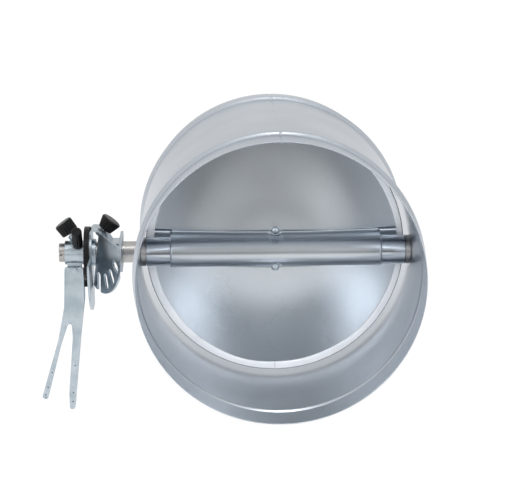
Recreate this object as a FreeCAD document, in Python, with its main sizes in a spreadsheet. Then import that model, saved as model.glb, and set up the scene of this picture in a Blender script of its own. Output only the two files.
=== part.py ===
import FreeCAD, Part
import math
import os
import Sketcher

# Manual round damper for a 200 mm duct, in millimetres.
# The duct runs along +Y from the near mouth at the origin, the shaft lies along X and the lever hangs
# from its -X end. The blade is shown closed.

doc = FreeCAD.newDocument("round_damper")
sheet = doc.addObject("Spreadsheet::Sheet", "sizes")

SIZES = {
    # casing: a rolled sheet tube with one raised bead near each mouth
    "tube_radius": 99.5,
    "tube_span": 198,
    "casing_gauge": 0.8,
    "bead_inset": 26,
    "bead_height": 2.5,
    # shaft across the duct, slotted for a screwdriver at the lever end
    "shaft_inset": 97,
    "shaft_radius": 6.9,
    "shaft_drive_overhang": 58.2,
    "shaft_idle_overhang": 7.7,
    "driver_slot_width": 1.3,
    "driver_slot_depth": 2.4,
    "running_gap": 0.05,
    # bushes through the casing wall, each with a collar inside
    "bush_wall": 0.85,
    "drive_bush_overhang": 31.4,
    "idle_bush_overhang": 5.5,
    "collar_radius": 10.5,
    "collar_clearance": 0.8,
    "collar_depth": 3.3,
    # blade: a sheet disc pressed to a shallow cone, with a half-round channel over the shaft sleeve
    "sleeve_wall": 3.75,
    "collar_play": 0.5,
    "channel_inset": 22.5,
    "blade_gauge": 0.8,
    "plate_setback": 5.5,
    "rim_inset": 7,
    "rim_flat": 4,
    "flat_radius": 30,
    "rim_drop": 6.6,
    "seal_cover": 3.3,
    "seal_wall": 1.2,
    "seal_proud": 2.8,
    "seal_split": 0.4,
    # rear strap and the rivets that clamp the shaft sleeve to the blade
    "strap_half_width": 20,
    "strap_gauge": 1,
    "strap_flange": 7,
    "rivet_head_radius": 3,
    "rivet_head_height": 1.8,
    "rivet_shank_radius": 1.6,
    "rivet_tail_radius": 2.6,
    "rivet_tail_height": 1.2,
    # bracket: a strip bent over the shaft, with a slotted quadrant in front
    "bracket_gauge": 1.6,
    "bracket_half_width": 9,
    "heel_radius": 15,
    "outer_leg_overhang": 35.6,
    "heel_drop": 14.9,
    "outer_leg_drop": 42,
    "arch_radius": 10.7,
    "arch_corner": 2.5,
    "arch_height": 7.5,
    "arch_end_angle": 30,
    "arch_slope": 6,
    "inner_leg_overhang": 13.9,
    "inner_leg_gauge": 2,
    "inner_leg_top": 12.9,
    "inner_leg_drop": 9,
    "inner_leg_front": 45,
    "inner_leg_back": 12,
    "inner_leg_slant": 3,
    "quadrant_radius": 44,
    "quadrant_slot_start": 29.5,
    "quadrant_slot_end": 41.5,
    "quadrant_slot_width": 6.4,
    "quadrant_overhang": 28.5,
    "quadrant_first_edge": -17,
    "quadrant_last_edge": 86,
    "slot_pitch": 20,
    "open_slot_lead": 3,
    "quadrant_forward": 14,
    "quadrant_height": 17.9,
    "quadrant_yaw": 24.8,
    "bush_clearance": 0.8,
    "washer_radius": 9.9,
    "washer_clearance": 0.1,
    # friction disc between the bracket and the lever
    "friction_radius": 19,
    "friction_depth": 4,
    "swing_gap": 0.6,
    # hub and lever
    "hub_radius": 8.7,
    "hub_span": 13.7,
    "hub_foot_front": 6.2,
    "hub_foot_back": 5.5,
    "hub_foot_drop": 14,
    "hub_foot_height": 10,
    "foot_gap": 0.3,
    "lever_clearance": 0.1,
    "lever_gauge": 1.8,
    "lever_depth": 8,
    "lever_top": 9.2,
    "lever_width": 14.1,
    "lever_length": 118.3,
    "rivet_rise": 2.4,
    "lever_rivet_radius": 1.2,
    "lever_rivet_head": 2.2,
    "block_top": 20,
    "block_height": 5,
    "block_width": 8,
    # screws and knobs
    "screw_radius": 2,
    "thread_gap": 0.05,
    "boss_radius": 3.6,
    "boss_height": 8,
    "hub_screw_inset": 4.1,
    "clamp_setback": 2.5,
    "clamp_start_sink": 0.4,
    "clamp_screw_start": 2.1,
    "clamp_screw_length": 7.9,
    "set_screw_gap": 0.1,
    "set_screw_length": 2.9,
    "lock_tilt": 52.4,
    "lock_screw_sink": 5.2,
    "lock_screw_length": 6.9,
    "screw_grip": 3,
    "clamp_knob_radius": 6.9,
    "clamp_knob_height": 9.3,
    "set_knob_radius": 3.9,
    "set_knob_height": 16.5,
    "lock_knob_base": 5.5,
    "lock_knob_radius": 7.6,
    "lock_knob_height": 8.8,
    "nut_flats": 7,
    "nut_depth": 3,
    "nut_clearance": 0.05,
    "clip_radius": 10,
    "clip_depth": 1,
    "clip_clearance": 0.3,
}
# Where each thing stands is worked out from the casing's wall, inwards to the blade and outwards to the lever.
PLACES = {
    "collar_seat": "tube_radius - casing_gauge - collar_clearance",
    "drive_bush_reach": "tube_radius + drive_bush_overhang",
    "idle_bush_reach": "tube_radius + idle_bush_overhang",
    "shaft_drive_reach": "tube_radius + shaft_drive_overhang",
    "shaft_idle_reach": "tube_radius + shaft_idle_overhang",
    "rim_radius": "tube_radius - rim_inset",
    "flank_radius": "rim_radius - rim_flat",
    "channel_reach": "tube_radius - channel_inset",
    "inner_leg_face": "tube_radius + inner_leg_overhang",
    "quadrant_reach": "tube_radius + quadrant_overhang",
    "outer_leg_face": "tube_radius + outer_leg_overhang",
}
for row, (alias, entry) in enumerate({**SIZES, **PLACES}.items(), start=1):
    sheet.set(f"A{row}", alias)
    sheet.set(f"B{row}", f"={entry}" if alias in PLACES else str(entry))
    sheet.setAlias(f"B{row}", alias)
doc.recompute()

nodes = []
V = FreeCAD.Vector
ALONG = {
    "X": FreeCAD.Rotation(V(0, 1, 0), 90),
    "Y": FreeCAD.Rotation(V(1, 0, 0), -90),
    "Z": FreeCAD.Rotation(),
}


def cell(expression):
    """An expression on bare size names, with each name written as a reference to the sheet."""
    words = str(expression).replace("(", " ( ").replace(")", " ) ").split()
    return " ".join(f"sizes.{w}" if w in SIZES or w in PLACES else w for w in words)


def value(expression):
    """The number that an expression on size names comes to."""
    return float(sheet.evalExpression(cell(expression)))


def bind(thing, **properties):
    """Tie properties to expressions; a double underscore stands for a dot in the property's path."""
    for name, expression in properties.items():
        thing.setExpression(name.replace("__", "."), cell(expression))


def place(thing, axis, x="0", y="0", z="0"):
    """Turn a primitive so that its own axis lies along X, Y or Z, then tie its base point."""
    thing.Placement = FreeCAD.Placement(V(0, 0, 0), ALONG[axis])
    bind(thing, Placement__Base__x=x, Placement__Base__y=y, Placement__Base__z=z)
    return thing


def cylinder(name, axis, radius, height, x="0", y="0", z="0"):
    rod = doc.addObject("Part::Cylinder", name)
    bind(rod, Radius=radius, Height=height)
    return place(rod, axis, x, y, z)


def torus(name, axis, major, minor, x="0", y="0", z="0"):
    ring = doc.addObject("Part::Torus", name)
    bind(ring, Radius1=major, Radius2=minor)
    return place(ring, axis, x, y, z)


def box(name, length, width, height, x="0", y="0", z="0"):
    """A block whose lowest corner is at x, y, z."""
    block = doc.addObject("Part::Box", name)
    bind(block, Length=length, Width=width, Height=height)
    return place(block, "Z", x, y, z)


def fuse(name, *shapes):
    joined = doc.addObject("Part::MultiFuse", name)
    joined.Shapes = list(shapes)
    joined.Refine = True
    return joined


def cut(name, base, tool):
    rest = doc.addObject("Part::Cut", name)
    rest.Base = base
    rest.Tool = tool
    return rest


def common(name, *shapes):
    shared = doc.addObject("Part::MultiCommon", name)
    shared.Shapes = list(shapes)
    return shared


def node(name, thing):
    """Name a finished piece, which writes its own file."""
    thing.Label = name
    nodes.append(thing)
    return thing


def solid(name, shape):
    """A piece whose shape is worked out here from the sheet's sizes."""
    feature = doc.addObject("Part::Feature", name + "_shape")
    feature.Shape = shape
    feature.Placement = FreeCAD.Placement()
    return feature


def sketch_on(body, role, name, corners):
    """A closed outline on one of the body's own planes, each corner tied to the sheet on both axes."""
    sketch = body.newObject("Sketcher::SketchObject", name)
    plane = [p for p in body.Origin.OriginFeatures if p.Role == role][0]
    sketch.AttachmentSupport = [(plane, "")]
    sketch.MapMode = "FlatFace"
    points = [V(value(across), value(up), 0) for across, up in corners]
    for number, point in enumerate(points):
        sketch.addGeometry(Part.LineSegment(point, points[(number + 1) % len(points)]))
    for number, (across, up) in enumerate(corners):
        following = (number + 1) % len(corners)
        sketch.addConstraint(Sketcher.Constraint("Coincident", number, 2, following, 1))
        for kind, expression in (("DistanceX", across), ("DistanceY", up)):
            rule = Sketcher.Constraint(kind, -1, 1, number, 1, value(expression))
            index = sketch.addConstraint(rule)
            sketch.setExpression(f"Constraints[{index}]", cell(expression))
    return sketch


def turned(name, axis, corners, x="0", y="0", z="0"):
    """A turned piece: corners are (distance out from the axis, distance along it)."""
    body = doc.addObject("PartDesign::Body", name + "_body")
    sketch = sketch_on(body, "XZ_Plane", name + "_outline", corners)
    spin = body.newObject("PartDesign::Revolution", name + "_spin")
    spin.Profile = sketch
    spin.ReferenceAxis = (sketch, ["V_Axis"])
    spin.Angle = 360
    place(body, axis, x, y, z)
    return body


# Casing
# The wall is the space between an outer and an inner tube, each with the same two beads swollen out of it.
def swollen_tube(name, radius, bead):
    return fuse(
        name,
        cylinder(name + "_tube", "Y", radius, "tube_span"),
        torus(name + "_near_bead", "Y", radius, bead, y="bead_inset"),
        torus(name + "_far_bead", "Y", radius, bead, y="tube_span - bead_inset"),
    )


outer_skin = swollen_tube("outer_skin", "tube_radius", "bead_height")
inner_skin = swollen_tube("inner_skin", "tube_radius - casing_gauge", "bead_height")
shaft_holes = cylinder(
    "shaft_holes",
    "X",
    "shaft_radius + 2 * running_gap + bush_wall",
    "2 * tube_radius + 20",
    x="0 - tube_radius - 10",
    y="shaft_inset",
)
node("casing_tube", cut("casing_pierced", cut("casing_wall", outer_skin, inner_skin), shaft_holes))


# Bushes
# Each is turned with a collar that bears on the inside of the casing, and runs out through its wall.
BORE = "shaft_radius + running_gap"
BUSH = "shaft_radius + running_gap + bush_wall"


def bush(name, seat_side, reach):
    """The outline is drawn outwards from the inner face of the collar."""
    inner_face = "collar_seat - collar_depth"
    body = turned(
        name,
        "X",
        [
            (BORE, inner_face),
            ("collar_radius", inner_face),
            ("collar_radius", "collar_seat"),
            (BUSH, "collar_seat"),
            (BUSH, reach),
            (BORE, reach),
        ],
        y="shaft_inset",
    )
    if seat_side < 0:
        body.Placement = FreeCAD.Placement(V(0, 0, 0), FreeCAD.Rotation(V(0, 1, 0), -90))
        bind(body, Placement__Base__y="shaft_inset")
    return node(name, body)


bush("drive_bush", -1, "drive_bush_reach")
bush("idle_bush", 1, "idle_bush_reach")

# Shaft
shaft_rod = cylinder(
    "shaft_rod",
    "X",
    "shaft_radius",
    "shaft_drive_reach + shaft_idle_reach",
    x="0 - shaft_drive_reach",
    y="shaft_inset",
)
driver_slot = box(
    "driver_slot",
    "driver_slot_depth",
    "2 * shaft_radius",
    "driver_slot_width",
    x="0 - shaft_drive_reach",
    y="shaft_inset - shaft_radius",
    z="0 - driver_slot_width / 2",
)
node("shaft", cut("shaft_slotted", shaft_rod, driver_slot))

node(
    "shaft_clip",
    cut(
        "clip_ring",
        cylinder(
            "clip_disc",
            "X",
            "clip_radius",
            "clip_depth",
            x="idle_bush_reach + clip_clearance",
            y="shaft_inset",
        ),
        cylinder("clip_bore", "X", "shaft_radius", "clip_depth + 2", x="idle_bush_reach - 1", y="shaft_inset"),
    ),
)

# Blade
# The sleeve fills the run between the two collars. The plate is flat near its middle, slopes back to a
# flat rim, and is pressed up over the sleeve's front half. A strap holds it from behind.
SLEEVE = "shaft_radius + sleeve_wall"
SLEEVE_REACH = "collar_seat - collar_depth - collar_play"
node(
    "shaft_sleeve",
    cut(
        "sleeve_tube",
        cylinder(
            "sleeve_rod",
            "X",
            SLEEVE,
            f"2 * ( {SLEEVE_REACH} )",
            x=f"0 - ( {SLEEVE_REACH} )",
            y="shaft_inset",
        ),
        cylinder("sleeve_bore", "X", "shaft_radius", "2 * tube_radius", x="0 - tube_radius", y="shaft_inset"),
    ),
)

front = "plate_setback"
back = "plate_setback + blade_gauge"
dish = turned(
    "dish",
    "Y",
    [
        ("0", front),
        ("flat_radius", front),
        ("flank_radius", f"{front} + rim_drop"),
        ("rim_radius", f"{front} + rim_drop"),
        ("rim_radius", f"{back} + rim_drop"),
        ("flank_radius - blade_gauge / 2", f"{back} + rim_drop"),
        ("flat_radius - blade_gauge / 2", back),
        ("0", back),
    ],
    y="shaft_inset",
)
channel_inner = f"{SLEEVE} + running_gap"
channel_outer = f"{SLEEVE} + running_gap + blade_gauge"


def channel_block(name, half_height, reach):
    """A bar along X, round in front and square behind, as deep as the rim."""
    return fuse(
        name,
        cylinder(f"{name}_round", "X", half_height, f"2 * {reach}", x=f"0 - {reach}", y="shaft_inset"),
        box(
            f"{name}_square",
            f"2 * {reach}",
            f"{back} + rim_drop",
            f"2 * ( {half_height} )",
            x=f"0 - {reach}",
            y="shaft_inset",
            z=f"0 - ( {half_height} )",
        ),
    )


# Everything behind the plate's back, which the channel's sides must not stand in.
behind = turned(
    "behind",
    "Y",
    [
        ("0", back),
        ("flat_radius - blade_gauge / 2", back),
        ("flank_radius - blade_gauge / 2", f"{back} + rim_drop"),
        ("tube_radius", f"{back} + rim_drop"),
        ("tube_radius", "tube_radius"),
        ("0", "tube_radius"),
    ],
    y="shaft_inset",
)
channel_shell = cut(
    "channel_shell",
    channel_block("channel_outside", channel_outer, "channel_reach"),
    channel_block("channel_inside", channel_inner, "tube_radius"),
)
channel = cut("channel", channel_shell, behind)
sleeve_gap = channel_block("sleeve_gap", channel_inner, "channel_reach")
sleeve_way = cylinder("sleeve_way", "X", channel_inner, "2 * tube_radius", x="0 - tube_radius", y="shaft_inset")
RIVET_OFFSET = f"{channel_inner} + rivet_head_radius + running_gap"
dish_opened = cut("dish_opened", dish, fuse("sleeve_room", sleeve_gap, sleeve_way))
blade_sheet = fuse("blade_sheet", dish_opened, channel)
rivet_reliefs = fuse(
    "rivet_reliefs",
    *[
        cylinder(
            f"relief_{name}",
            "Y",
            "rivet_head_radius + running_gap",
            "rivet_head_height + 10",
            y="shaft_inset + plate_setback - rivet_head_height - 10",
            z=f"{sign} * ( {RIVET_OFFSET} )",
        )
        for name, sign in (("upper", 1), ("lower", -1))
    ],
    *[
        cylinder(
            f"rivet_hole_{name}",
            "Y",
            "rivet_shank_radius",
            "10",
            y="shaft_inset",
            z=f"{sign} * ( {RIVET_OFFSET} )",
        )
        for name, sign in (("upper", 1), ("lower", -1))
    ],
)
node("blade_plate", cut("blade_pressed", blade_sheet, rivet_reliefs))

# The edge seal is a U-shaped rubber strip pushed over the rim, with its ends meeting at the bottom.
seal_inner = "rim_radius - seal_cover"
seal_outer = "rim_radius + seal_proud"
seal_front = "plate_setback + rim_drop - seal_wall"
seal_back = "plate_setback + rim_drop + blade_gauge + seal_wall"
seal_ring = turned(
    "seal",
    "Y",
    [
        (seal_inner, seal_front),
        (seal_outer, seal_front),
        (seal_outer, seal_back),
        (seal_inner, seal_back),
        (seal_inner, "plate_setback + rim_drop + blade_gauge"),
        ("rim_radius", "plate_setback + rim_drop + blade_gauge"),
        ("rim_radius", "plate_setback + rim_drop"),
        (seal_inner, "plate_setback + rim_drop"),
    ],
    y="shaft_inset",
)
seal_slit = box(
    "seal_slit",
    "seal_split",
    "40",
    "20",
    x="0 - seal_split / 2",
    y="shaft_inset",
    z="0 - tube_radius",
)
node("blade_edge_seal", cut("seal_with_slit", seal_ring, seal_slit))

# Rear strap: a half ring round the back of the sleeve with a flange each side against the plate.
strap_inner = channel_inner
strap_outer = f"{SLEEVE} + running_gap + strap_gauge"
strap_ring = cut(
    "strap_ring",
    cylinder("strap_rod", "X", strap_outer, "2 * strap_half_width", x="0 - strap_half_width", y="shaft_inset"),
    cylinder("strap_bore", "X", strap_inner, "2 * tube_radius", x="0 - tube_radius", y="shaft_inset"),
)
strap_back = box(
    "strap_back",
    "2 * strap_half_width",
    "2 * tube_radius",
    "2 * tube_radius",
    x="0 - strap_half_width",
    y=f"shaft_inset + {back}",
    z="0 - tube_radius",
)
strap_flanges = cut(
    "strap_flanges",
    box(
        "strap_flange_sheet",
        "2 * strap_half_width",
        "strap_gauge",
        f"2 * ( {strap_outer} + strap_flange )",
        x="0 - strap_half_width",
        y=f"shaft_inset + {back}",
        z=f"0 - ( {strap_outer} + strap_flange )",
    ),
    cylinder("strap_flange_gap", "X", strap_inner, "2 * tube_radius", x="0 - tube_radius", y="shaft_inset"),
)
strap_sheet = fuse("strap_sheet", common("strap_half", strap_ring, strap_back), strap_flanges)
strap_holes = fuse(
    "strap_holes",
    *[
        cylinder(
            f"strap_hole_{name}",
            "Y",
            "rivet_shank_radius",
            "30",
            y="shaft_inset",
            z=f"{sign} * ( {RIVET_OFFSET} )",
        )
        for name, sign in (("upper", 1), ("lower", -1))
    ],
)
node("rear_strap", cut("strap_drilled", strap_sheet, strap_holes))

for name, sign in (("upper", 1), ("lower", -1)):
    rivet = turned(
        f"{name}_rivet",
        "Y",
        [
            ("0", "plate_setback - rivet_head_height"),
            ("rivet_head_radius * 0.55", "plate_setback - rivet_head_height"),
            ("rivet_head_radius * 0.9", "plate_setback - rivet_head_height * 0.55"),
            ("rivet_head_radius", "plate_setback"),
            ("rivet_shank_radius", "plate_setback"),
            ("rivet_shank_radius", f"{back} + strap_gauge"),
            ("rivet_tail_radius", f"{back} + strap_gauge"),
            ("rivet_tail_radius * 0.8", f"{back} + strap_gauge + rivet_tail_height"),
            ("0", f"{back} + strap_gauge + rivet_tail_height"),
        ],
        y="shaft_inset",
        z=f"{sign} * ( {RIVET_OFFSET} )",
    )
    node(f"{name}_blade_rivet", rivet)


# Bracket
# One strip is bent up the outer leg, over the shaft and along a ledge to the inner leg. The slotted
# quadrant is folded forward from it, and turned a little out of the plane across the shaft.
def bent_strip(path, thickness, width, middle):
    """Carry a rectangle of the given thickness, and width along Y, along a path in the XZ plane."""
    wire = Part.Wire(path)
    start = path[0].Vertexes[0].Point
    corners = []
    for across, along in ((-1, -1), (1, -1), (1, 1), (-1, 1), (-1, -1)):
        corners.append(start + V(across * thickness / 2, middle + along * width / 2, 0))
    return wire.makePipeShell([Part.makePolygon(corners)], True, False, 1)


gauge = value("bracket_gauge")
leg_x = -value("outer_leg_face - bracket_gauge / 2")
corner = value("arch_corner")
arch = value("arch_radius")
arch_x = leg_x + corner
arch_z = value("arch_height")
shoulder = math.radians(value("arch_end_angle"))
lean = V(math.sin(shoulder), 0, -math.cos(shoulder))
top_left = V(arch_x, 0, arch_z + arch)
corner_centre = top_left - V(0, 0, corner)
arch_end = V(arch_x, 0, arch_z) + arch * V(math.cos(shoulder), 0, math.sin(shoulder))
ledge_start = arch_end + lean * value("arch_slope")
ledge_end = V(-value("inner_leg_face - inner_leg_gauge / 2"), 0, ledge_start.z)
half_turn = math.radians(135)
corner_middle = corner_centre + corner * V(math.cos(half_turn), 0, math.sin(half_turn))
arch_middle_turn = (math.radians(90) + shoulder) / 2
arch_middle = V(arch_x, 0, arch_z) + arch * V(math.cos(arch_middle_turn), 0, math.sin(arch_middle_turn))
strip_path = [
    Part.LineSegment(V(leg_x, 0, -value("heel_drop")), V(leg_x, 0, corner_centre.z)).toShape(),
    Part.Arc(V(leg_x, 0, corner_centre.z), corner_middle, top_left).toShape(),
    Part.Arc(top_left, arch_middle, arch_end).toShape(),
    Part.LineSegment(arch_end, ledge_start).toShape(),
    Part.LineSegment(ledge_start, ledge_end).toShape(),
]
axis_point = V(0, value("shaft_inset"), 0)
strip = bent_strip(strip_path, gauge, value("2 * bracket_half_width"), value("shaft_inset"))

# The outer leg widens into a quarter disc that the lever swings over, from straight down to forward.
outer_x = -value("outer_leg_face")
reach = value("outer_leg_drop")
quarter = Part.makeCylinder(reach, gauge, V(outer_x, axis_point.y, 0), V(1, 0, 0))
quarter = quarter.common(Part.makeBox(gauge, reach, reach, V(outer_x, axis_point.y - reach, -reach)))
heel = Part.makeCylinder(value("heel_radius"), gauge, V(outer_x, axis_point.y, 0), V(1, 0, 0))
heel_strip = Part.makeBox(gauge, reach / 4, reach, V(outer_x, axis_point.y, -reach))

# The inner leg is a plate across the shaft that reaches forward to the quadrant.
inner_x = -value("inner_leg_face")
leg_outline = [
    (value("inner_leg_back"), value("inner_leg_top")),
    (value("inner_leg_back"), -value("inner_leg_drop")),
    (-value("inner_leg_back"), -value("inner_leg_drop + inner_leg_slant")),
    (-value("inner_leg_front"), -value("inner_leg_drop / 3")),
    (-value("inner_leg_front"), value("inner_leg_top / 3")),
    (-value("inner_leg_back"), value("inner_leg_top")),
]
leg_points = [V(inner_x, axis_point.y + forward, up) for forward, up in leg_outline]
leg_face = Part.Face(Part.makePolygon(leg_points + leg_points[:1]))
inner_leg = leg_face.extrude(V(value("inner_leg_gauge"), 0, 0))

# The quadrant is drawn flat with its centre at the origin, u across and z up, then turned and moved.
far = value("quadrant_radius")
yaw = value("quadrant_yaw")
fan = Part.makeCylinder(far, gauge, V(0, 0, 0), V(0, 1, 0))
slot_half = value("quadrant_slot_width / 2")
slot_near = value("quadrant_slot_start")
slot_far = value("quadrant_slot_end")


def ray(angle, distance):
    """The point at a distance from the quadrant's centre, with angle 0 straight down."""
    turn = math.radians(angle)
    return V(distance * math.sin(turn), 0, -distance * math.cos(turn))


def square_to(angle, distance):
    """The offset that is square to that ray."""
    turn = math.radians(angle)
    return V(distance * math.cos(turn), 0, distance * math.sin(turn))


first_edge = value("quadrant_first_edge")
last_edge = value("quadrant_last_edge")
edge_angles = (first_edge, (first_edge + last_edge) / 2, last_edge)
edge_points = [V(0, 0, 0)] + [ray(angle, 2 * far) for angle in edge_angles]
wedge = Part.Face(Part.makePolygon(edge_points + edge_points[:1])).extrude(V(0, gauge, 0))
fan = fan.common(wedge)
for count in range(4):
    open_end = 2 * slot_far if count == 0 else slot_far
    middle = count * value("slot_pitch") - (value("open_slot_lead") if count == 0 else 0)
    first = ray(middle, slot_near + slot_half)
    last = ray(middle, open_end - slot_half)
    side = square_to(middle, slot_half)
    cutter = Part.Face(Part.makePolygon([first + side, last + side, last - side, first - side, first + side]))
    cutter = cutter.extrude(V(0, gauge, 0))
    for end in (first, last):
        cutter = cutter.fuse(Part.makeCylinder(slot_half, gauge, end, V(0, 1, 0)))
    fan = fan.cut(cutter)
fan.rotate(V(0, 0, 0), V(0, 0, 1), -(90 - yaw))
fan.translate(
    V(
        -value("quadrant_reach"),
        value("shaft_inset - quadrant_forward"),
        value("quadrant_height"),
    )
)
fan_side = Part.makeBox(far, axis_point.y, 4 * far, V(-value("inner_leg_face - inner_leg_gauge"), 0, -2 * far))
fan = fan.cut(fan_side)
bush_way = Part.makeCylinder(
    value(BUSH) + value("bush_clearance"),
    value("outer_leg_face - inner_leg_face + inner_leg_gauge") - gauge,
    V(outer_x + gauge, axis_point.y, 0),
    V(1, 0, 0),
)
fan = fan.cut(bush_way)
bracket = strip.fuse([quarter, heel, heel_strip, inner_leg, fan])
shaft_way = Part.makeCylinder(value(BORE), 4 * gauge, V(outer_x - 2 * gauge, axis_point.y, 0), V(1, 0, 0))
bush_start = V(-value("drive_bush_reach + washer_clearance"), axis_point.y, 0)
bush_seat = Part.makeCylinder(value(BUSH), -bush_start.x, bush_start, V(1, 0, 0))

# The lock screw goes down through the shoulder of the arch into a nut under it.
lock_turn = math.radians(value("lock_tilt"))
lock_axis = V(math.cos(lock_turn), 0, math.sin(lock_turn))
arch_centre = V(arch_x, axis_point.y, arch_z)
lock_hole = Part.makeCylinder(value("screw_radius + thread_gap"), 2 * arch, arch_centre, lock_axis)
bracket = bracket.cut([shaft_way, bush_seat, lock_hole]).removeSplitter()
node("quadrant_bracket", solid("quadrant_bracket", bracket))

washer_x = outer_x + gauge
washer = Part.makeCylinder(
    value("washer_radius"),
    value("outer_leg_face - bracket_gauge - drive_bush_reach - washer_clearance"),
    V(washer_x, axis_point.y, 0),
    V(1, 0, 0),
)
washer_bore = Part.makeCylinder(value(BORE), 8 * gauge, V(washer_x - gauge, axis_point.y, 0), V(1, 0, 0))
washer = washer.cut(washer_bore)
node("bearing_washer", solid("bearing_washer", washer))

node(
    "friction_disc",
    cut(
        "friction_ring",
        cylinder(
            "friction_blank",
            "X",
            "friction_radius",
            "friction_depth",
            x="0 - outer_leg_face - friction_depth",
            y="shaft_inset",
        ),
        cylinder(
            "friction_bore",
            "X",
            BORE,
            "3 * friction_depth",
            x="0 - outer_leg_face - 2 * friction_depth",
            y="shaft_inset",
        ),
    ),
)

# Hub
# A barrel pressed on the shaft, with a foot that the lever is riveted to and a boss for each screw.
hub_right = -value("outer_leg_face + friction_depth + swing_gap")
hub_left = hub_right - value("hub_span")
barrel = Part.makeCylinder(value("hub_radius"), value("hub_span"), V(hub_left, axis_point.y, 0), V(1, 0, 0))
lever_right = hub_right - value("lever_clearance")
lever_left = lever_right - value("lever_width")
inset = value("lever_gauge + foot_gap")
foot = Part.makeBox(
    value("lever_width") - 2 * inset,
    value("hub_foot_front + hub_foot_back"),
    value("hub_foot_height"),
    V(lever_left + inset, axis_point.y - value("hub_foot_front"), -value("hub_foot_drop")),
)
clamp_axis = V(-0.588, 0, 0.809)
screw_x = hub_right - value("hub_screw_inset")
clamp_start = V(screw_x, axis_point.y + value("clamp_setback"), value("shaft_radius - clamp_start_sink"))
set_axis = V(0, -0.64, 0.768)
set_start = V(screw_x, axis_point.y, 0) + set_axis * value("shaft_radius + set_screw_gap")
clamp_boss = Part.makeCylinder(value("boss_radius"), value("boss_height"), clamp_start, clamp_axis)
hub = barrel.fuse([foot, clamp_boss])
span = value("hub_span")
shaft_bore = Part.makeCylinder(value("shaft_radius"), 3 * span, V(hub_left - span, axis_point.y, 0), V(1, 0, 0))
thread = value("screw_radius + thread_gap")
clamp_thread = Part.makeCylinder(thread, 2 * span, clamp_start, clamp_axis)
set_thread = Part.makeCylinder(thread, 2 * span, set_start - set_axis * thread, set_axis)
hub = hub.cut([shaft_bore, clamp_thread, set_thread])
hub = hub.removeSplitter()

# Forked lever
# A pressed tray: a flat web towards the near mouth with a turned rim, forked into two tapering legs.
# Each corner is given as a share of the width from the left edge, and a share of the length down.
length = value("lever_length")
width = value("lever_width")
FORK_OUTLINE = [
    (-0.085, 0.338),
    (-0.454, 0.554),
    (-1.383, 0.896),
    (-1.326, 0.933),
    (-1.113, 0.916),
    (-0.319, 0.588),
    (0.092, 0.445),
    (0.284, 0.443),
    (0.326, 0.524),
    (0.050, 0.896),
    (0.050, 0.983),
    (0.191, 1.0),
    (0.333, 0.966),
    (0.745, 0.531),
    (1.0, 0.287),
]
outline = [(lever_left, -value("lever_top"))]
outline += [(lever_left + across * width, -down * length) for across, down in FORK_OUTLINE]
outline += [(lever_right, -value("lever_top"))]
web_y = axis_point.y - value("hub_foot_front + lever_gauge")
outline_points = [V(x, web_y, z) for x, z in outline]
web = Part.Face(Part.makePolygon(outline_points + outline_points[:1]))
tray = web.extrude(V(0, value("lever_depth"), 0))
hollow = web.makeOffset2D(-value("lever_gauge")).extrude(V(0, value("lever_depth"), 0))
hollow.translate(V(0, value("lever_gauge"), 0))
open_top = Part.makeBox(
    value("lever_width - 2 * lever_gauge"),
    value("lever_depth"),
    value("2 * lever_depth"),
    V(lever_left + value("lever_gauge"), web_y + value("lever_gauge"), -value("lever_top + lever_depth / 2")),
)
rivet_z = value("rivet_rise - hub_foot_drop")
lever_rivet_x = (lever_left + lever_right) / 2
rivet_radius = value("lever_rivet_radius")
rivet_way = V(lever_rivet_x, web_y - value("lever_depth"), rivet_z)
rivet_hole = Part.makeCylinder(rivet_radius, value("3 * lever_depth"), rivet_way, V(0, 1, 0))
lever = tray.cut([hollow, open_top, rivet_hole]).removeSplitter()
node("lever_hub", solid("lever_hub", hub.cut(rivet_hole)))
node("forked_lever", solid("forked_lever", lever))

rivet_foot = V(lever_rivet_x, web_y, rivet_z)
head = Part.makeCylinder(value("lever_rivet_head"), rivet_radius, rivet_foot - V(0, rivet_radius, 0), V(0, 1, 0))
lever_rivet = head.fuse(Part.makeCylinder(rivet_radius, value("hub_foot_front"), rivet_foot, V(0, 1, 0)))
node("lever_rivet", solid("lever_rivet", lever_rivet.removeSplitter()))

block = Part.makeBox(
    -lever_right - value("outer_leg_face") - value("swing_gap"),
    value("block_width"),
    value("block_height"),
    V(lever_right, axis_point.y - value("block_width / 2"), -value("block_top + block_height")),
)
node("friction_block", solid("friction_block", block))


# Screws and knobs
# Each knob is turned about its screw, whose end it grips from below.
def screw_and_knob(name, start, axis, length, knob_profile):
    """The profile gives the knob's (radius, height above the end of the bare screw)."""
    screw = Part.makeCylinder(value("screw_radius"), length + value("screw_grip"), start, axis)
    points = [V(radius, 0, length + height) for radius, height in knob_profile]
    points = [V(0, 0, points[0].z)] + points + [V(0, 0, points[-1].z)]
    knob = Part.Face(Part.makePolygon(points + points[:1])).revolve(V(0, 0, 0), V(0, 0, 1), 360)
    knob.Placement = FreeCAD.Placement(start, FreeCAD.Rotation(V(0, 0, 1), axis))
    node(f"{name}_screw", solid(f"{name}_screw", screw))
    node(f"{name}_knob", solid(f"{name}_knob", knob.cut(screw)))


def straight_profile(radius, height):
    return [(radius * 0.72, 0), (radius, 1.2), (radius, height - 1.4), (radius - 1.4, height)]


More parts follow.
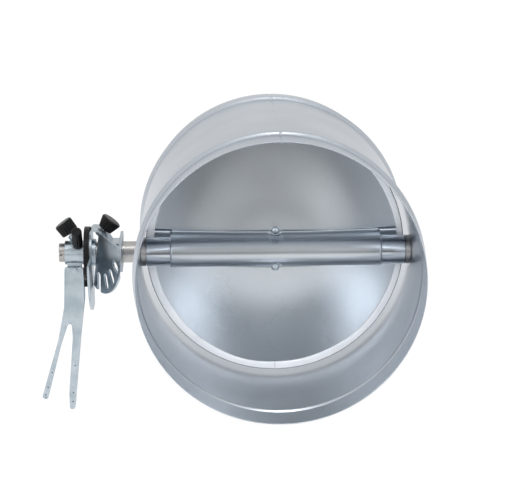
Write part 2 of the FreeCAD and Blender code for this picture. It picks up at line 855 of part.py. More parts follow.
screw_and_knob(
    "hub_clamp",
    clamp_start + clamp_axis * value("clamp_screw_start"),
    clamp_axis,
    value("clamp_screw_length"),
    straight_profile(value("clamp_knob_radius"), value("clamp_knob_height")),
)
screw_and_knob(
    "hub_set",
    set_start,
    set_axis,
    value("set_screw_length"),
    straight_profile(value("set_knob_radius"), value("set_knob_height")),
)
lock_top = value("lock_knob_radius")
lock_base = value("lock_knob_base")
lock_height = value("lock_knob_height")
screw_and_knob(
    "lock",
    arch_centre + lock_axis * (arch - value("lock_screw_sink")),
    lock_axis,
    value("lock_screw_length"),
    [(lock_base - 1, 0), (lock_base, 0.8), (lock_top, lock_height - 1.6), (lock_top - 1.6, lock_height)],
)
nut_across = value("nut_flats / 2") / math.cos(math.radians(30))
nut_seat = math.sqrt((arch - gauge / 2) ** 2 - nut_across**2) - value("nut_clearance")
nut_point = arch_centre + lock_axis * (nut_seat - value("nut_depth"))
hexagon = []
for corner_count in range(7):
    turn = math.radians(60 * corner_count)
    hexagon.append(V(nut_across * math.cos(turn), nut_across * math.sin(turn), 0))
nut = Part.Face(Part.makePolygon(hexagon)).extrude(V(0, 0, value("nut_depth")))
nut.Placement = FreeCAD.Placement(nut_point, FreeCAD.Rotation(V(0, 0, 1), lock_axis))
node("lock_nut", solid("lock_nut", nut.cut(lock_hole)))

doc.recompute()

for thing in doc.Objects:
    if "Invalid" in thing.State or "Error" in thing.State:
        raise RuntimeError(f"{thing.Label} failed: {thing.State}")
os.makedirs("parts", exist_ok=True)
for thing in nodes:
    shape = thing.Shape
    if shape.isNull() or not shape.isValid() or not shape.Solids:
        raise RuntimeError(f"{thing.Label} has no valid solid")
    shape.exportStep(os.path.join("parts", thing.Label + ".step"))
    low = shape.BoundBox
    print(
        f"{thing.Label:20s} {len(shape.Solids)} solid {shape.Volume:10.1f} mm3 "
        f"x {low.XMin:7.1f} {low.XMax:7.1f} y {low.YMin:7.1f} {low.YMax:7.1f} z {low.ZMin:7.1f} {low.ZMax:7.1f}"
    )
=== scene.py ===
import math
import bmesh
import bpy
import numpy as np
from mathutils import Matrix, Vector


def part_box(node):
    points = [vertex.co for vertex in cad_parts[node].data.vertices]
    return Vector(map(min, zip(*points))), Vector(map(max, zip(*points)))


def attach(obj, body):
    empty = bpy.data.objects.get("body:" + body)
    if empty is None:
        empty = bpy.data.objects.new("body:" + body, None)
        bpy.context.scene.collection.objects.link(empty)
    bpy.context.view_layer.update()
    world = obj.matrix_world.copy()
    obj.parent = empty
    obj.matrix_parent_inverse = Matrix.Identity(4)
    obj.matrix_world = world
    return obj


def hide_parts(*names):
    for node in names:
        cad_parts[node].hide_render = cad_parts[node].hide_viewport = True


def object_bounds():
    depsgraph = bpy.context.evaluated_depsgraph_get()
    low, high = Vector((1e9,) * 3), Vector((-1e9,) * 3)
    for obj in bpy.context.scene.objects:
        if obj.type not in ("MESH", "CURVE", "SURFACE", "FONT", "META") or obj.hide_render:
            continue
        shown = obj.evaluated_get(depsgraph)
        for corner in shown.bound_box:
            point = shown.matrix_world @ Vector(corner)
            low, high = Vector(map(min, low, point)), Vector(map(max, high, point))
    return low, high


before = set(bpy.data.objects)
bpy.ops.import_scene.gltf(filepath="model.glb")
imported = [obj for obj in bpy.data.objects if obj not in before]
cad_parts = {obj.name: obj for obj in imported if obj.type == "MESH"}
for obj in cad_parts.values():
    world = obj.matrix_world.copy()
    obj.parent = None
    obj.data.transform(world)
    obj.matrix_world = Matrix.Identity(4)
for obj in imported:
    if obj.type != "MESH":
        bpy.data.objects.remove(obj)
cad_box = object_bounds()

# Room
# A pale table just under the lever's tip, and a white surround that is dim in front, which gives the bare
# metal its dark lines. Four large plain lamps overhead, in front, left and right light the matt parts, and
# three small ones give the metal its bright spots and lines.
scene = bpy.context.scene
scene.view_settings.view_transform = "Standard"

view = bpy.data.cameras.new("camera")
view.lens = 115
view.sensor_width = 36
camera = bpy.data.objects.new("camera", view)
right, upward, ahead = (0.99937, -0.0353, -0.0018), (0.0105, 0.2474, 0.9689), (0.03375, 0.9683, -0.2477)
stand = (-0.0510, -1.0911, 0.3080)
camera.matrix_world = Matrix([(right[k], upward[k], -ahead[k], stand[k]) for k in range(3)] + [(0, 0, 0, 1)])
scene.collection.objects.link(camera)
scene.camera = camera


def lamp(name, place, target, size, power, mirrored=False):
    """A square lamp that faces its target. Bare metal mirrors it only where asked."""
    light = bpy.data.lights.new(name, "AREA")
    light.size = size
    light.energy = power
    holder = bpy.data.objects.new(name, light)
    holder.location = place
    holder.rotation_euler = (Vector(target) - Vector(place)).to_track_quat("-Z", "Y").to_euler()
    holder.visible_glossy = mirrored
    scene.collection.objects.link(holder)


lamp("overhead", (-0.10, -0.25, 1.20), (0, 0.05, 0), 1.6, 8.0)
lamp("front", (0.15, -1.35, 1.15), (0, 0.05, 0), 1.3, 15.0)
lamp("left", (-1.30, -0.50, 0.55), (0, 0.05, 0), 1.0, 3.5)
lamp("right", (1.30, -0.50, 0.55), (0, 0.05, 0), 1.0, 3.0)
lamp("high", (0.05, -0.55, 1.30), (0, 0.05, 0), 0.3, 2.6, mirrored=True)
lamp("low_left", (-0.72, -1.30, 0.24), (0, 0.05, 0), 0.5, 3.4, mirrored=True)
lamp("low_right", (0.72, -1.30, 0.24), (0, 0.05, 0), 0.5, 3.0, mirrored=True)


class Wire:
    """A socket in a material's tree. Signs between it and a number or another socket add Math nodes."""

    def __init__(self, tree, socket=None):
        self.tree = tree
        self.socket = socket

    def node(self, kind, settings=None, values=None, take=0):
        """Add a node, with its settings, then a value or a link for each socket, and give one output."""
        made = self.tree.nodes.new("ShaderNode" + kind)
        for key, setting in (settings or {}).items():
            setattr(made, key, setting)
        for key, entry in (values or {}).items():
            if isinstance(entry, Wire):
                self.tree.links.new(entry.socket, made.inputs[key])
            else:
                made.inputs[key].default_value = entry
        return Wire(self.tree, made.outputs[take]) if len(made.outputs) else None

    def sum(self, operation, *others):
        return self.node("Math", {"operation": operation}, dict(enumerate((self, *others))))

    def __add__(self, other):
        return self.sum("ADD", other)

    def __mul__(self, other):
        return self.sum("MULTIPLY", other)

    def __sub__(self, other):
        return self.sum("SUBTRACT", other)

    def __rsub__(self, other):
        return self.node("Math", {"operation": "SUBTRACT"}, {0: other, 1: self})

    __radd__ = __add__
    __rmul__ = __mul__

    def between(self, low, high):
        """0 below low, 1 above high and smooth between."""
        steps = {"interpolation_type": "SMOOTHSTEP"}
        return self.node("MapRange", steps, {"Value": self, "From Min": low, "From Max": high})

    def tint(self, dark, light):
        """From one colour to another as the socket goes from 0 to 1."""
        return self.node("Mix", {"data_type": "RGBA"}, {0: self, 6: (*dark, 1), 7: (*light, 1)}, take=2)


def rays(wire):
    """1 for a ray from the camera, and 1 for one from a mirror or glass."""
    names = ("Is Camera Ray", "Is Glossy Ray", "Is Transmission Ray")
    seen, glossy, through = (wire.node("LightPath", take=name) for name in names)
    return seen, glossy.sum("MAXIMUM", through)


world = bpy.data.worlds.new("surround")
world.use_nodes = True
world.node_tree.nodes.clear()
scene.world = world
air = Wire(world.node_tree)
seen, mirrored = rays(air)
way = air.node("TexCoord", take="Generated")
aside, forth, height = (air.node("SeparateXYZ", None, {0: way}, take=k) for k in range(3))
front = (0 - forth).between(0.1, 0.6) * (1 - aside.sum("ABSOLUTE").between(0.22, 0.55))
studio = 1 - front * (0.36 * (1 - height.between(0.45, 0.8)) + 0.38 * (1 - height.between(0.0, 0.2)))
lit = 1.2 * (1 - seen) * (1 - mirrored)
strength = seen + (mirrored * (1 - seen) * studio + lit) * 0.8
backdrop = air.node("Background", None, {"Color": (1, 1, 1, 1), "Strength": strength})
air.node("OutputWorld", None, {"Surface": backdrop})

floor_paint = bpy.data.materials.new("pale_floor")
floor_paint.use_nodes = True
floor_paint.node_tree.nodes.clear()
ground = Wire(floor_paint.node_tree)
seen, mirrored = rays(ground)
matt = ground.node("BsdfDiffuse", None, {"Color": (0.86, 0.87, 0.88, 1)})
glow = ground.node("Emission", None, {"Color": (1, 1, 1, 1), "Strength": 1.03})
share = seen.sum("MAXIMUM", mirrored) * 0.93
ground.node("OutputMaterial", None, {"Surface": ground.node("MixShader", None, {0: share, 1: matt, 2: glow})})
floor_level = cad_box[0][2] - 0.0002
sheet = bpy.data.meshes.new("floor")
floor_corners = ((-4, -0.45), (4, -0.45), (4, 4), (-4, 4))
sheet.from_pydata([(x, y, floor_level) for x, y in floor_corners], [], [(0, 1, 2, 3)])
sheet.materials.append(floor_paint)
floor = bpy.data.objects.new("floor", sheet)
scene.collection.objects.link(floor)


# Casing
# A rolled tube of 0.8 mm galvanised sheet, welded edge to edge along its top, with a raised bead rolled
# near each mouth and a round hole each side that the bush passes through.
TUBE_RADIUS = 0.0995
GAUGE = 0.0008
TUBE_LENGTH = 0.198
BEADS = (0.026, 0.172)
BEAD_HEIGHT = 0.00245
BEAD_HALF_WIDTH = 0.0034
WELD_DEPTH = 0.00035
LIP = 0.0006
SHAFT_Y = 0.097
SHAFT_HOLE = 0.00785


def smooth(x, low, high):
    """0 below low, 1 above high, and 3t^2 - 2t^3 between, with t the share of the way."""
    t = np.clip((x - low) / (high - low), 0, 1)
    return t * t * (3 - 2 * t)


def polar(turn, out):
    """The two coordinates of a point at a distance out and a turn in degrees."""
    return out * np.cos(np.radians(turn)), out * np.sin(np.radians(turn))


def surface(name, *grids, sharp=35):
    """One mesh from grids of points, each U by V by 3, with a quad between each four neighbours. A grid may
    come with an array that says which quads are kept. Equal points are merged, the faces turned outwards."""
    points, quads, first = [], [], 0
    for grid in grids:
        grid, kept = grid if isinstance(grid, tuple) else (grid, None)
        rows, columns = grid.shape[:2]
        number = first + np.arange(rows * columns).reshape(rows, columns)
        faces = np.stack([number[:-1, :-1], number[1:, :-1], number[1:, 1:], number[:-1, 1:]], axis=-1)
        quads.append(faces.reshape(-1, 4) if kept is None else faces[kept])
        points.append(grid.reshape(-1, 3))
        first += rows * columns
    mesh = bpy.data.meshes.new(name)
    mesh.from_pydata(np.concatenate(points).tolist(), [], np.concatenate(quads).tolist())
    return finished(name, mesh, sharp)


def finished(name, mesh, sharp=35):
    """Merge a mesh's equal points, turn its faces outwards, shade it smooth up to an angle and link it."""
    work = bmesh.new()
    work.from_mesh(mesh)
    bmesh.ops.remove_doubles(work, verts=work.verts, dist=2e-6)
    bmesh.ops.dissolve_degenerate(work, edges=work.edges, dist=1e-7)
    bmesh.ops.recalc_face_normals(work, faces=work.faces)
    work.to_mesh(mesh)
    work.free()
    mesh.shade_smooth()
    mesh.set_sharp_from_angle(angle=math.radians(sharp))
    piece = bpy.data.objects.new(name, mesh)
    scene.collection.objects.link(piece)
    return piece


def dress(piece, material, slot, body, *replaced):
    """Give a piece its finish, its body and the CAD nodes that it stands for."""
    piece.data.materials.clear()
    piece.data.materials.append(material)
    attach(piece, body)
    if replaced:
        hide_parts(*replaced)
    return piece


def coat(material, *names):
    """Give CAD nodes a finish and leave the rest of them as it is."""
    for name in names:
        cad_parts[name].data.materials.clear()
        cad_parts[name].data.materials.append(material)


def metal(name, dark, light, roughness, grain, blotch, spangle=0.0, polish=None, scratches=0.0):
    """A bare metal: cloudy blotches between two tones, so many to the metre, crystal cells as zinc has them,
    fine grain in the bump, and hairlines round or along it where it was rolled, drawn or turned."""
    material = bpy.data.materials.new(name)
    material.use_nodes = True
    tree = material.node_tree
    shader = tree.nodes["Principled BSDF"]
    wire = Wire(tree)
    place = wire.node("TexCoord", take="Object")
    cloud = wire.node("TexNoise", None, {"Vector": place, "Scale": blotch, "Detail": 3.0, "Roughness": 0.5})
    cell = wire.node("TexVoronoi", None, {"Vector": place, "Scale": 150.0, "Randomness": 1.0}, take="Color")
    crystal = wire.node("SeparateColor", None, {0: cell}) - 0.5
    fine = wire.node("TexNoise", None, {"Vector": place, "Scale": grain, "Detail": 4.0, "Roughness": 0.6})
    stretched = wire.node("Mapping", None, {"Vector": place, "Scale": polish or (1, 1, 1)})
    hair = wire.node("TexNoise", None, {"Vector": stretched, "Scale": 1.0, "Detail": 3.0, "Roughness": 0.7})
    speck = wire.node("TexNoise", None, {"Vector": place, "Scale": grain * 0.5, "Detail": 2.0})
    tone = cloud.between(0.25, 0.75) * 0.7 + 0.15 + crystal * spangle
    tone = tone + (hair - 0.5) * scratches + (speck - 0.5) * 0.5
    tree.links.new(tone.tint(dark, light).socket, shader.inputs["Base Color"])
    gloss = roughness + (cloud - 0.5) * 0.12 + crystal * (spangle * 0.25) + (hair - 0.5) * (scratches * 0.3)
    tree.links.new(gloss.socket, shader.inputs["Roughness"])
    height = fine * 0.4 + crystal * (spangle * 0.5) + hair * scratches
    bump = wire.node("Bump", None, {"Height": height, "Strength": 0.2, "Distance": 0.0001})
    tree.links.new(bump.socket, shader.inputs["Normal"])
    shader.inputs["Metallic"].default_value = 1.0
    return material


galvanised = metal(
    "galvanised_casing", (0.50, 0.54, 0.59), (0.64, 0.68, 0.73), 0.33, 1800, 16, spangle=0.04,
    polish=(5, 420, 5), scratches=0.7,
)


def wall(turn, along, depth):
    """Points of the tube's skin, a depth below its outside. The radius is the tube's, plus a raised cosine
    over each bead, less a shallow groove at the weld along the top."""
    radius = TUBE_RADIUS - depth + 0 * turn
    for bead in BEADS:
        reach = np.clip(np.abs(along - bead) / BEAD_HALF_WIDTH, 0, 1)
        radius = radius + BEAD_HEIGHT * (0.5 + 0.5 * np.cos(np.pi * reach))
    weld = np.abs(turn - 90) * np.radians(1) * TUBE_RADIUS
    radius = radius - WELD_DEPTH * (1 - smooth(weld, 0.0002, 0.0009))
    x, z = polar(turn, radius)
    return np.stack([x, along + 0 * radius, z], axis=-1)


window_turn = 8.0
window_along = 0.0135
turns = np.unique(np.concatenate([np.arange(-90, 271, 1.0), 90 + np.linspace(-0.7, 0.7, 15)]))
beads = [bead + np.linspace(-1, 1, 21) * BEAD_HALF_WIDTH for bead in BEADS]
window_lines = SHAFT_Y + np.linspace(-window_along, window_along, 19)
alongs = np.unique(np.round(np.concatenate([
    np.linspace(LIP, 0.022, 8), *beads, np.linspace(0.031, SHAFT_Y - window_along, 20), window_lines,
    np.linspace(SHAFT_Y + window_along, 0.167, 20), np.linspace(0.176, TUBE_LENGTH - LIP, 8),
]), 7))
turn_grid, along_grid = np.meshgrid(turns, alongs, indexing="ij")
middle_turn = (turns[:-1] + turns[1:]) / 2
middle_along = (alongs[:-1] + alongs[1:]) / 2
off_side = np.minimum(np.abs(middle_turn), np.abs(middle_turn - 180))
kept = ~((off_side[:, None] < window_turn) & (np.abs(middle_along - SHAFT_Y)[None, :] < window_along))
shells = [(wall(turn_grid, along_grid, depth), kept) for depth in (0.0, GAUGE)]

# Each mouth is closed by a half-round edge between the two skins.
for mouth, way in ((LIP, -1), (TUBE_LENGTH - LIP, 1)):
    bend = np.radians(np.linspace(0, 180, 9))
    lip_turn, lip_bend = np.meshgrid(turns, bend, indexing="ij")
    depth = GAUGE / 2 * (1 - np.cos(lip_bend))
    shells.append(wall(lip_turn, mouth + way * LIP * np.sin(lip_bend), depth))

# Round each hole the quads run from the circle to the square window, on both skins and through the wall.
edge_turn = np.concatenate([
    np.arange(-8, 8, 1.0), np.full(18, 8.0), np.arange(8, -8, -1.0), np.full(18, -8.0), [-8.0],
])
edge_along = np.concatenate([
    np.full(16, window_lines[0]), window_lines[:-1], np.full(16, window_lines[-1]), window_lines[:0:-1],
    [window_lines[0]],
])
for side in (0, 180):
    rims = []
    for depth in (0.0, GAUGE):
        up = (TUBE_RADIUS - depth) * np.sin(np.radians(edge_turn))
        forth = edge_along - SHAFT_Y
        scale = SHAFT_HOLE / np.hypot(up, forth)
        share = np.linspace(0, 1, 7)[:, None]
        ring_up = up * (scale * (1 - share) + share)
        ring_along = SHAFT_Y + forth * (scale * (1 - share) + share)
        ring_turn = np.degrees(np.arcsin(ring_up / (TUBE_RADIUS - depth)))
        patch = wall(side + ring_turn, ring_along, depth)
        shells.append(patch)
        rims.append(patch[0])
    shells.append(np.stack(rims))
casing = surface("casing_skin", *shells)
dress(casing, galvanised, "galvanised_sheet", "casing", "casing_tube")


# Blade
# A disc of galvanised sheet pressed to a shallow cone with a flat rim, and a half-round channel over the
# shaft's sleeve with a dimple beside it for each rivet. The sleeve comes out of the channel's open ends.
PLATE_Y = 0.1025
FLAT_RADIUS = 0.030
FLANK_RADIUS = 0.0885
RIM_RADIUS = 0.0925
RIM_DROP = 0.0066
CHANNEL_RADIUS = 0.0115
CHANNEL_REACH = 0.077
ROOT = 0.0132
RIVET_Z = 0.01375


def soft_step(x, corner, ease):
    """A line that turns from level to a slope of one at the corner, eased over a width."""
    return ease * np.logaddexp(0, (x - corner) / ease)


def dish(radius):
    """How far back the plate lies: a slope from the flat middle to the flat rim, the first corner eased over
    6 mm and the second over 1 mm, and a faint pressed line at 76 mm."""
    slope = RIM_DROP / (FLANK_RADIUS - FLAT_RADIUS)
    back = slope * (soft_step(radius, FLAT_RADIUS, 0.006) - soft_step(radius, FLANK_RADIUS, 0.001))
    return PLATE_Y + back - 0.00003 * np.exp(-(((radius - 0.076) / 0.0012) ** 2))


def dimpled(points):
    """Press the sheet level round each rivet: full within 3.6 mm of it and none beyond 6.2 mm."""
    for sign in (1, -1):
        away = np.hypot(points[..., 0], points[..., 2] - sign * RIVET_Z)
        flat = 1 - smooth(away, 0.0036, 0.0062)
        points[..., 1] = points[..., 1] * (1 - flat) + PLATE_Y * flat
    return points


plate_grids = []
share = np.linspace(0, 1, 181)
rings = np.concatenate([np.linspace(0.045, 0.073, 16), np.linspace(0.0738, 0.0782, 12),
                        np.linspace(0.079, 0.086, 5), np.linspace(0.0866, RIM_RADIUS, 14)])
for sign in (1, -1):
    start = np.degrees(np.arcsin(ROOT / rings))[:, None]
    x, z = polar(start + share[None, :] * (180 - 2 * start), rings[:, None])
    outer = np.stack([x, dish(np.hypot(x, z)), sign * z], axis=-1)
    inner_edge = np.stack([x[0], np.full_like(x[0], PLATE_Y), np.full_like(x[0], sign * ROOT)], axis=-1)
    inward = np.linspace(0, 1, 24)[:, None, None]
    inner = inner_edge * (1 - inward) + outer[0] * inward
    inner[..., 1] = dish(np.hypot(inner[..., 0], inner[..., 2]))
    plate_grids += [dimpled(inner), outer]

# The channel's section: a fillet up from the plate, the half round, and the other fillet down. Its sides
# grow as the plate slopes back.
fillet = ROOT - CHANNEL_RADIUS
bend = np.radians(np.linspace(0, 90, 9))
arc = np.radians(np.linspace(-90, 90, 43))
foot_z = ROOT - fillet * np.sin(bend)
foot_y = PLATE_Y - fillet * (1 - np.cos(bend))
section_z = np.concatenate([-foot_z, CHANNEL_RADIUS * np.sin(arc), foot_z[::-1]])
section_y = np.concatenate([foot_y, SHAFT_Y - CHANNEL_RADIUS * np.cos(arc), foot_y[::-1]])
stations = np.unique(np.concatenate([np.linspace(-1, 1, 101) * CHANNEL_REACH, np.linspace(-7, 7, 43) / 1000]))
x = stations[:, None] + 0 * section_z
z = section_z[None, :] + 0 * x
foot_share = smooth(section_y[None, :], SHAFT_Y - 0.0005, PLATE_Y)
y = section_y[None, :] + (dish(np.hypot(x, z)) - PLATE_Y) * foot_share
plate_grids.append(dimpled(np.stack([x, y, z], axis=-1)))

# Past the channel's ends the plate runs on behind the sleeve, out to the rim.
for side in (1, -1):
    z = np.linspace(-ROOT, ROOT, 15)[:, None]
    share = np.linspace(0, 1, 25)[None, :]
    x = CHANNEL_REACH + (np.sqrt(RIM_RADIUS**2 - z**2) - CHANNEL_REACH) * share
    plate_grids.append(np.stack([side * x, dish(np.hypot(x, z)), z + 0 * x], axis=-1))
blade = surface("blade_sheet", *plate_grids, sharp=50)


def turn_towards(piece, way):
    """Flip an open sheet where most of its faces look away from the given direction."""
    normals = np.empty(len(piece.data.polygons) * 3)
    piece.data.polygons.foreach_get("normal", normals)
    if np.dot(normals.reshape(-1, 3).sum(axis=0), way) < 0:
        piece.data.flip_normals()
    return piece


def thicken(piece, gauge):
    """Give a sheet its thickness behind the faces that it has."""
    solidify = piece.modifiers.new("gauge", "SOLIDIFY")
    solidify.thickness = gauge
    solidify.offset = -1
    return piece


blade_zinc = metal("galvanised_blade", (0.51, 0.55, 0.59), (0.65, 0.69, 0.73), 0.29, 1800, 9)
dress(thicken(turn_towards(blade, (0, -1, 0)), GAUGE), blade_zinc, "galvanised_sheet", "blade", "blade_plate")

sleeve_zinc = metal("galvanised_sleeve", (0.50, 0.54, 0.59), (0.66, 0.70, 0.75), 0.17, 1800, 20, 0.08)
coat(sleeve_zinc, "shaft_sleeve", "rear_strap")


# Edge seal
# A pale grey rubber strip of U section, pushed over the blade's rim and cut so that its ends meet at the
# bottom. Its inner edge wanders a little, as a strip that is pressed on by hand does.
SEAL_IN, SEAL_OUT = 0.0892, 0.0953
SEAL_FRONT, SEAL_BACK = 0.1079, 0.1111


def rubber(name, dark, light, roughness, edge=None):
    """Matt rubber or plastic: soft clouds of tone, and a fine grain in the bump. Past an edge, which is a
    distance from the duct's axis, it is painted near black: a painted shadow for the gap between seal and
    casing."""
    material = bpy.data.materials.new(name)
    material.use_nodes = True
    tree = material.node_tree
    shader = tree.nodes["Principled BSDF"]
    wire = Wire(tree)
    place = wire.node("TexCoord", take="Object")
    cloud = wire.node("TexNoise", None, {"Vector": place, "Scale": 30.0, "Detail": 3.0})
    fine = wire.node("TexNoise", None, {"Vector": place, "Scale": 1500.0, "Detail": 3.0})
    tone = (cloud * 0.8 + fine * 0.2).between(0.3, 0.7).tint(dark, light)
    if edge:
        away = wire.node("VectorMath", {"operation": "MULTIPLY"}, {0: place, 1: (1, 0, 1)})
        away = wire.node("VectorMath", {"operation": "LENGTH"}, {0: away}, take="Value")
        # Painted shadow: past the edge the tone turns near black, standing in for the shade in the gap to the
        # casing.
        painted_gap_shadow = away.between(edge - 0.0006, edge + 0.0001)
        tone = wire.node("Mix", {"data_type": "RGBA"}, {0: painted_gap_shadow, 6: tone, 7: (0.05, 0.055, 0.06, 1)}, take=2)
    tree.links.new(tone.socket, shader.inputs["Base Color"])
    tree.links.new((roughness + (cloud - 0.5) * 0.15).socket, shader.inputs["Roughness"])
    bump = wire.node("Bump", None, {"Height": fine, "Strength": 0.2, "Distance": 0.0001})
    tree.links.new(bump.socket, shader.inputs["Normal"])
    return material


# The last number is where the seal's painted gap shadow starts, at its outer edge.
pale_rubber = rubber("pale_seal_rubber", (0.78, 0.81, 0.86), (0.88, 0.90, 0.94), 0.5, 0.0950)
half_gap = 0.12
around = np.linspace(-90 + half_gap, 270 - half_gap, 361)
profile_turn = np.linspace(0, 360, 33)[None, :]
lean = np.radians(around)[:, None]
wander = 0.00022 * np.sin(3 * lean + 0.6) + 0.00016 * np.sin(7 * lean + 2.0) + 0.0001 * np.sin(13 * lean)
pull = 0.0008 * smooth(around[:, None], -62, -40) * (1 - smooth(around[:, None], 10, 60))
inner_edge = SEAL_IN + 0.0003 + wander + pull
# The section is a rounded oblong: a circle's two coordinates, each raised to a power of a half.
across, over = polar(profile_turn, 1.0)
across = np.sign(across) * np.abs(across) ** 0.5
over = np.sign(over) * np.abs(over) ** 0.5
radius = (SEAL_OUT + inner_edge) / 2 + across * (SEAL_OUT - inner_edge) / 2
depth = (SEAL_FRONT + SEAL_BACK) / 2 + over * (SEAL_BACK - SEAL_FRONT) / 2
x, z = polar(around[:, None], radius)
band = np.stack([x, depth + 0 * x, z], axis=-1)
caps = [np.stack([end.mean(axis=0) + 0 * end, end]) for end in (band[0], band[-1])]
seal = surface("edge_seal_strip", band, *caps)
dress(seal, pale_rubber, "seal_rubber", "blade", "blade_edge_seal")


# Shaft, bushes, clip and blade rivets
# Bright turned steel: the shaft with a screwdriver slot in its end, a bush with a collar at each wall, a
# spring clip at the hidden end, and two zinc-plated rivets with domed heads.
turned_steel = metal(
    "turned_steel", (0.36, 0.35, 0.34), (0.54, 0.53, 0.52), 0.34, 2500, 40,
    polish=(2400, 60, 60), scratches=0.5,
)
coat(turned_steel, "shaft", "drive_bush", "idle_bush", "shaft_clip")

zinc_plate = metal(
    "zinc_plate", (0.38, 0.45, 0.50), (0.60, 0.66, 0.71), 0.36, 2200, 90,
    polish=(300, 300, 40), scratches=0.3,
)


def domed_rivet(name, centre_z, replaced):
    """Turn a section about a line along Y: a low dome, its rim, the shank and a flattened tail."""
    bend = np.radians(np.linspace(0, 90, 9))
    out = np.concatenate([0.0030 * np.sin(bend), [0.0030, 0.0016, 0.0016, 0.0026, 0.0021, 0.0]])
    back = PLATE_Y + GAUGE + 0.0010
    tail = [PLATE_Y, PLATE_Y, back, back, back + 0.0012, back + 0.0012]
    along = np.concatenate([PLATE_Y - 0.0003 - 0.0015 * np.cos(bend), tail])
    turn = np.linspace(0, 360, 37)[:, None]
    x, z = polar(turn, out[None, :])
    piece = surface(name, np.stack([x, along[None, :] + 0 * x, z + centre_z], axis=-1))
    dress(piece, zinc_plate, "zinc_plated_steel", "blade", replaced)


domed_rivet("upper_rivet", RIVET_Z, "upper_blade_rivet")
domed_rivet("lower_rivet", -RIVET_Z, "lower_blade_rivet")


# Bracket, washer, hub and lever
# Bent and pressed from thick strip, with the edges of bracket and hub slightly round from tumbling, then
# zinc plated to a bluish satin. The lever is riveted to the hub's foot.
def tumbled(name, source, ease, steps=3):
    """A copy of a CAD piece's mesh, with its triangles joined into plain faces and its edges rounded off."""
    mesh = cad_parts[source].data.copy()
    work = bmesh.new()
    work.from_mesh(mesh)
    bmesh.ops.remove_doubles(work, verts=work.verts, dist=2e-6)
    bmesh.ops.dissolve_limit(
        work, angle_limit=math.radians(0.5), verts=work.verts, edges=work.edges, delimit={"NORMAL"},
    )
    work.to_mesh(mesh)
    work.free()
    piece = finished(name, mesh)
    bevel = piece.modifiers.new("tumbled_edges", "BEVEL")
    bevel.width = ease
    bevel.segments = steps
    bevel.limit_method = "ANGLE"
    bevel.angle_limit = math.radians(38)
    bevel.harden_normals = True
    return piece


bracket = tumbled("bracket", "quadrant_bracket", 0.00035)
dress(bracket, zinc_plate, "zinc_plated_steel", "casing", "quadrant_bracket")
hub = tumbled("hub", "lever_hub", 0.0005)
dress(hub, zinc_plate, "zinc_plated_steel", "blade", "lever_hub")


# The lever's outline: across from the left side of its web and down from the shaft, in metres.
LEVER_LOW, LEVER_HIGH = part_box("forked_lever")
LEVER_WIDTH = 0.0141
LEVER_LEFT = LEVER_HIGH[0] - LEVER_WIDTH
WEB_SUNK = 0.0004
LEVER_OUTLINE = [
    (0.0, 0.0092), (-0.0012, 0.0400), (-0.0064, 0.0655), (-0.0195, 0.1090), (-0.0153, 0.1106),
    (-0.0045, 0.0696), (0.0013, 0.0524), (0.0040, 0.0524), (0.0046, 0.0620), (0.0007, 0.1060),
    (0.0008, 0.1181), (0.0047, 0.1181), (0.0105, 0.0628), (LEVER_WIDTH, 0.0340), (LEVER_WIDTH, 0.0092),
]


def rounded(corners, ease):
    """A closed outline whose corners are replaced by curves: each point of a curve is the mean, with weights
    (1-t)^2, 2t(1-t) and t^2, of the curve's start, the corner and the curve's end."""
    corners = np.array(corners)
    t = np.linspace(0, 1, 7)[:, None]
    curves = []
    for before, corner, after in zip(np.roll(corners, 1, axis=0), corners, np.roll(corners, -1, axis=0)):
        into, away = before - corner, after - corner
        reach = min(ease, 0.45 * np.linalg.norm(into), 0.45 * np.linalg.norm(away))
        first = corner + into * reach / np.linalg.norm(into)
        last = corner + away * reach / np.linalg.norm(away)
        curves.append((1 - t) ** 2 * first + 2 * t * (1 - t) * corner + t**2 * last)
    return np.concatenate(curves)


def tray(name, outline, front, back, gauge):
    """A shallow tray pressed from an outline in X and Z: its flange runs back, a round fold brings it to the
    front, and inside a narrow raised rim the web is sunk a little. The flange is left open at the top."""
    ahead_of, behind = np.roll(outline, -1, axis=0), np.roll(outline, 1, axis=0)
    along = ahead_of - behind
    inward = np.stack([-along[:, 1], along[:, 0]], axis=-1) / np.linalg.norm(along, axis=1)[:, None]
    bend = np.radians(np.linspace(0, 90, 6))
    fold = 0.0006
    inset = np.concatenate([[0.0], fold * (1 - np.cos(bend)), [0.0009, 0.0012, 0.00135]])
    sunk = front + WEB_SUNK
    depth = np.concatenate([[back], front + fold * (1 - np.sin(bend)), [front, sunk, sunk]])
    loops = outline[:, None, :] + inward[:, None, :] * inset[None, :, None]
    points = np.stack([loops[..., 0], depth[None, :] + 0 * loops[..., 0], loops[..., 1]], axis=-1)
    count, steps = points.shape[:2]
    number = np.arange(count * steps).reshape(count, steps)
    beside = np.roll(number, -1, axis=0)
    quads = np.stack([number[:, :-1], beside[:, :-1], beside[:, 1:], number[:, 1:]], axis=-1)
    at_top = np.minimum(outline[:, 1], ahead_of[:, 1]) > outline[:, 1].max() - 0.0021
    kept = np.ones(quads.shape[:2], bool)
    kept[at_top, 0] = False
    mesh = bpy.data.meshes.new(name)
    mesh.from_pydata(points.reshape(-1, 3).tolist(), [], quads[kept].tolist())
    work = bmesh.new()
    work.from_mesh(mesh)
    web = set(number[:, -1].tolist())
    rim = [edge for edge in work.edges if all(vert.index in web for vert in edge.verts)]
    bmesh.ops.triangle_fill(work, use_beauty=True, edges=rim, normal=(0, -1, 0))
    work.to_mesh(mesh)
    work.free()
    piece = finished(name, mesh, 60)
    return thicken(turn_towards(piece, (0, -1, 0)), gauge)


outline = rounded(LEVER_OUTLINE, 0.0019) * (1, -1) + (LEVER_LEFT, 0)
lever = tray("lever", outline, LEVER_LOW[1], LEVER_HIGH[1], 0.0009)
dress(lever, zinc_plate, "zinc_plated_steel", "blade", "forked_lever")
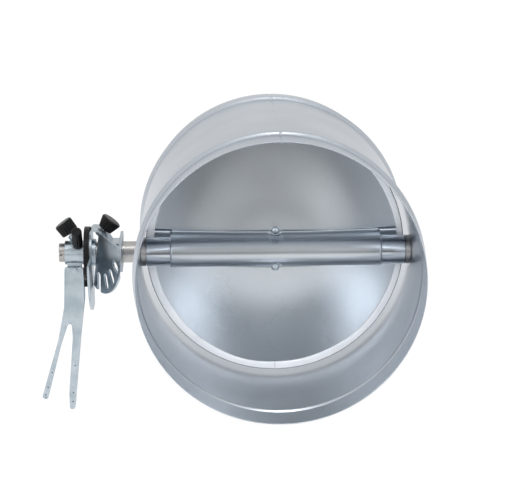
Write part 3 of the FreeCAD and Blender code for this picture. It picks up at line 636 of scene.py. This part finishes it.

# Small blind pilot holes along the legs, each drawn as a flat near-black disc on the sunk web: painted shade
# for the dark inside of the hole.
painted_hole_shade = bpy.data.materials.new("painted_hole_shade")
painted_hole_shade.use_nodes = True
painted_hole_shade.node_tree.nodes["Principled BSDF"].inputs["Base Color"].default_value = (0.02, 0.022, 0.025, 1)
painted_hole_shade.node_tree.nodes["Principled BSDF"].inputs["Roughness"].default_value = 0.8
spots = []
for tip, lean, places in (((-0.0176, 0.1100), (0.295, -0.955), (0.0035, 0.0095, 0.0215)),
                          ((0.0028, 0.1181), (0.085, -0.996), (0.0060, 0.0130, 0.0340))):
    for place in places:
        centre = np.array(tip) + np.array(lean) * place
        x, z = polar(np.linspace(0, 360, 17)[:, None], np.array([0.0, 0.0005])[None, :])
        y = LEVER_LOW[1] + WEB_SUNK - 0.00003 + 0 * x
        spots.append(np.stack([LEVER_LEFT + centre[0] + x, y, z - centre[1]], axis=-1))
hole_shade_discs = surface("pilot_hole_shade_discs", *spots)
dress(turn_towards(hole_shade_discs, (0, -1, 0)), painted_hole_shade, "zinc_plated_steel", "blade")
coat(zinc_plate, "bearing_washer", "lock_nut", "lever_rivet")
coat(zinc_plate, "hub_clamp_screw", "hub_set_screw", "lock_screw")


# Black parts
# Moulded black plastic, semi-matt: the friction disc and its block, and three screw knobs with ribs round
# their sides for grip.
def moulded(name, colour, roughness):
    """Moulded plastic: one colour with a faint cloud, and a weaker shine than rubber has."""
    material = rubber(name, colour, tuple(1.6 * part for part in colour), roughness)
    material.node_tree.nodes["Principled BSDF"].inputs["Specular IOR Level"].default_value = 0.16
    return material


black_plastic = moulded("black_plastic", (0.004, 0.004, 0.0045), 0.28)
coat(black_plastic, "friction_disc", "friction_block")


def ribbed_knob(name, source, body, foot, axis, section, ribs, depth):
    """Turn a section (radius, height) about an axis from its foot. The radius loses a share of the depth
    between ribs, as the square of a cosine round the knob, and none at the section's two ends."""
    axis = np.array(axis) / np.linalg.norm(axis)
    side = np.cross(axis, (0.0, 1.0, 0.0) if abs(axis[1]) < 0.5 else (1.0, 0.0, 0.0))
    side /= np.linalg.norm(side)
    other = np.cross(axis, side)
    out, height = np.array(section).T
    turn = np.radians(np.linspace(0, 360, ribs * 8 + 1))[:, None]
    start, end = height[0], height[-1]
    grip = smooth(height, start, start + 0.0012) * (1 - smooth(height, end - 0.0016, end - 0.0004))
    radius = out - depth * grip * np.sin(turn * ribs / 2) ** 2
    points = (np.array(foot) + height[None, :, None] * axis
              + (radius * np.cos(turn))[..., None] * side + (radius * np.sin(turn))[..., None] * other)
    piece = surface(name, points, sharp=60)
    dress(piece, black_plastic, "black_plastic", body, source)


def knob_section(start, base, top, height):
    """From the middle of the foot, out round a small edge, up the side and in over a larger edge."""
    bend = np.radians(np.linspace(0, 90, 6))
    edge, crown = 0.0006, 0.0014
    foot_edge = np.stack([base - edge + edge * np.sin(bend), start + edge - edge * np.cos(bend)], axis=-1)
    share = np.linspace(0, 1, 12)[1:-1]
    low, high = start + edge, start + height - crown
    side = np.stack([base + (top - base) * share, low + (high - low) * share], axis=-1)
    over = np.stack([top - crown + crown * np.cos(bend), high + crown * np.sin(bend)], axis=-1)
    ends = np.array([[0.0, start], [0.0, start + height]])
    return np.concatenate([ends[:1], foot_edge, side, over, ends[1:]])


clamp_axis = np.array((-0.588, 0, 0.809)) / math.hypot(0.588, 0.809)
clamp_foot = np.array((-0.1438, 0.0995, 0.0065)) + clamp_axis * 0.0021
ribbed_knob("clamp_knob", "hub_clamp_knob", "hub_clamp", clamp_foot, clamp_axis,
            knob_section(0.0079, 0.0066, 0.0069, 0.0093), 18, 0.0005)
set_axis = np.array((0, -0.64, 0.768)) / math.hypot(0.64, 0.768)
set_foot = np.array((-0.1438, SHAFT_Y, 0)) + set_axis * 0.0070
ribbed_knob("set_knob", "hub_set_knob", "hub_set", set_foot, set_axis,
            knob_section(0.0029, 0.0038, 0.0039, 0.0165), 14, 0.0003)
lock_axis = np.array((math.cos(math.radians(52.4)), 0, math.sin(math.radians(52.4))))
lock_foot = np.array((-0.1318, SHAFT_Y, 0.0075)) + lock_axis * 0.0055
ribbed_knob("tightening_knob", "lock_knob", "lock", lock_foot, lock_axis,
            knob_section(0.0069, 0.0055, 0.0076, 0.0088), 16, 0.0006)
